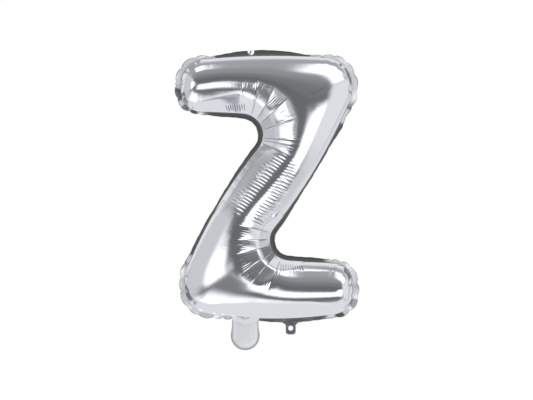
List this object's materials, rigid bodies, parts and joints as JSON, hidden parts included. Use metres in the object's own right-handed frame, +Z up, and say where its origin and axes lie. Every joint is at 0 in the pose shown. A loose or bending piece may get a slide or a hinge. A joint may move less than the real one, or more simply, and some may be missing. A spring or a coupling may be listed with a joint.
{
  "type": "letter foil balloon",
  "caption": "Letter Z foil balloon, air filled: two welded film sheets, a puckered seam margin, a filling tail and a hanging tab.",
  "frame": {"origin": "the middle of the letter, halfway between its top and bottom margins and in the weld's plane, where the air mount is", "axes": "+Z up the letter, +X along its bars to the right as read from the front, -Y out of the front panel"},
  "size_m": [0.2349, 0.0834, 0.3824],
  "materials": {
    "silver_foil": "mirror-bright metallised film, stretched tight, with fine creases",
    "margin_foil": "bright metallised film, welded flat and puckered",
    "tail_film": "satin pale grey film with a darker welded rim",
    "tab_foil": "bright metallised film, welded flat"
  },
  "bodies": {
    "root": {"front_panel": "silver_foil", "back_panel": "silver_foil", "seam_margin": "margin_foil", "filling_tail": "tail_film", "hanging_tab": "tab_foil"}
  },
  "joints": []
}
